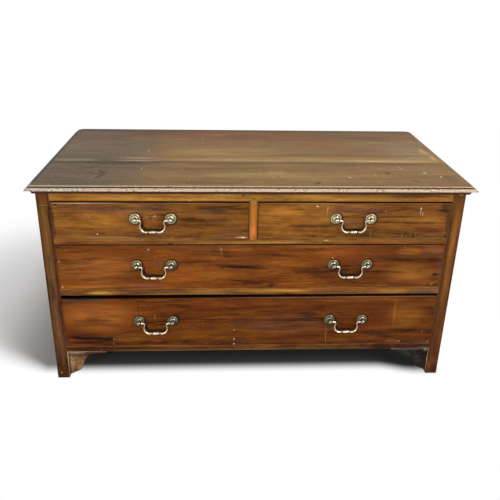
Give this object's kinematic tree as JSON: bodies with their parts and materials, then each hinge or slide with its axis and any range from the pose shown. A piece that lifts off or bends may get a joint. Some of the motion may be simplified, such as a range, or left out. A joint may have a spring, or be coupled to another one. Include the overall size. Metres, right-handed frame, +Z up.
{
  "type": "low chest of drawers",
  "caption": "Low wooden chest with short drawers over long ones, swan-neck bail handles, a moulded top and bracketed feet.",
  "frame": {"origin": "on the floor under the middle of the top", "axes": "+X to the right seen from the front, -Y out of the front, +Z up"},
  "size_m": [1.1, 0.55, 0.574],
  "materials": {
    "top_wood": "worn, faded brown, matte",
    "carcase_wood": "old satin polish, worn at the edges",
    "top_rail_wood": "old satin polish, ochre",
    "divider_wood": "old satin polish, orange",
    "front_wood": "old satin polish, reddish brown with dark streaks",
    "inner_wood": "bare, unpolished",
    "brass": "aged, dull in the hollows",
    "steel": "dull"
  },
  "bodies": {
    "carcase": {"top_front_board": "top_wood", "top_back_board": "top_wood", "front_left_post": "carcase_wood", "front_right_post": "carcase_wood", "rear_left_post": "carcase_wood", "rear_right_post": "carcase_wood", "top_rail": "top_rail_wood", "upper_rail": "carcase_wood", "middle_rail": "carcase_wood", "bottom_rail": "carcase_wood", "centre_divider": "divider_wood", "left_side_rails": "carcase_wood", "right_side_rails": "carcase_wood", "left_side_panel": "carcase_wood", "right_side_panel": "carcase_wood", "back_rails": "inner_wood", "back_boards": "inner_wood", "runners_and_kickers": "inner_wood", "drawer_guides": "inner_wood", "drawer_stops": "inner_wood", "front_brackets": "carcase_wood", "top_screws": "steel"},
    "upper_left_drawer": {"upper_left_front": "front_wood", "upper_left_left_side": "inner_wood", "upper_left_right_side": "inner_wood", "upper_left_back": "inner_wood", "upper_left_bottom": "inner_wood", "upper_left_roses": "brass", "upper_left_handle_posts": "brass", "upper_left_nuts": "steel"},
    "upper_left_bail": {"upper_left_bail": "brass"},
    "upper_right_drawer": {"upper_right_front": "front_wood", "upper_right_left_side": "inner_wood", "upper_right_right_side": "inner_wood", "upper_right_back": "inner_wood", "upper_right_bottom": "inner_wood", "upper_right_roses": "brass", "upper_right_handle_posts": "brass", "upper_right_nuts": "steel"},
    "upper_right_bail": {"upper_right_bail": "brass"},
    "middle_drawer": {"middle_front": "front_wood", "middle_left_side": "inner_wood", "middle_right_side": "inner_wood", "middle_back": "inner_wood", "middle_bottom": "inner_wood", "middle_roses": "brass", "middle_handle_posts": "brass", "middle_nuts": "steel"},
    "middle_left_bail": {"middle_left_bail": "brass"},
    "middle_right_bail": {"middle_right_bail": "brass"},
    "lower_drawer": {"lower_front": "front_wood", "lower_left_side": "inner_wood", "lower_right_side": "inner_wood", "lower_back": "inner_wood", "lower_bottom": "inner_wood", "lower_roses": "brass", "lower_handle_posts": "brass", "lower_nuts": "steel"},
    "lower_left_bail": {"lower_left_bail": "brass"},
    "lower_right_bail": {"lower_right_bail": "brass"}
  },
  "joints": [
    {"name": "upper_left_slide", "type": "slide", "parent": "carcase", "child": "upper_left_drawer", "axis": [0, -1, 0], "range_m": [0, 0.36]},
    {"name": "upper_left_bail_swing", "type": "hinge", "parent": "upper_left_drawer", "child": "upper_left_bail", "pos_m": [-0.2527, -0.2575, 0.48], "axis": [-1, 0, 0], "range_deg": [-12, 100]},
    {"name": "upper_right_slide", "type": "slide", "parent": "carcase", "child": "upper_right_drawer", "axis": [0, -1, 0], "range_m": [0, 0.36]},
    {"name": "upper_right_bail_swing", "type": "hinge", "parent": "upper_right_drawer", "child": "upper_right_bail", "pos_m": [0.2527, -0.2575, 0.48], "axis": [-1, 0, 0], "range_deg": [-12, 100]},
    {"name": "middle_slide", "type": "slide", "parent": "carcase", "child": "middle_drawer", "axis": [0, -1, 0], "range_m": [0, 0.36]},
    {"name": "middle_left_bail_swing", "type": "hinge", "parent": "middle_drawer", "child": "middle_left_bail", "pos_m": [-0.255, -0.2575, 0.35], "axis": [-1, 0, 0], "range_deg": [-12, 100]},
    {"name": "middle_right_bail_swing", "type": "hinge", "parent": "middle_drawer", "child": "middle_right_bail", "pos_m": [0.255, -0.2575, 0.35], "axis": [-1, 0, 0], "range_deg": [-12, 100]},
    {"name": "lower_slide", "type": "slide", "parent": "carcase", "child": "lower_drawer", "axis": [0, -1, 0], "range_m": [0, 0.36]},
    {"name": "lower_left_bail_swing", "type": "hinge", "parent": "lower_drawer", "child": "lower_left_bail", "pos_m": [-0.2568, -0.2575, 0.182], "axis": [-1, 0, 0], "range_deg": [-12, 100]},
    {"name": "lower_right_bail_swing", "type": "hinge", "parent": "lower_drawer", "child": "lower_right_bail", "pos_m": [0.2568, -0.2575, 0.182], "axis": [-1, 0, 0], "range_deg": [-12, 100]}
  ]
}
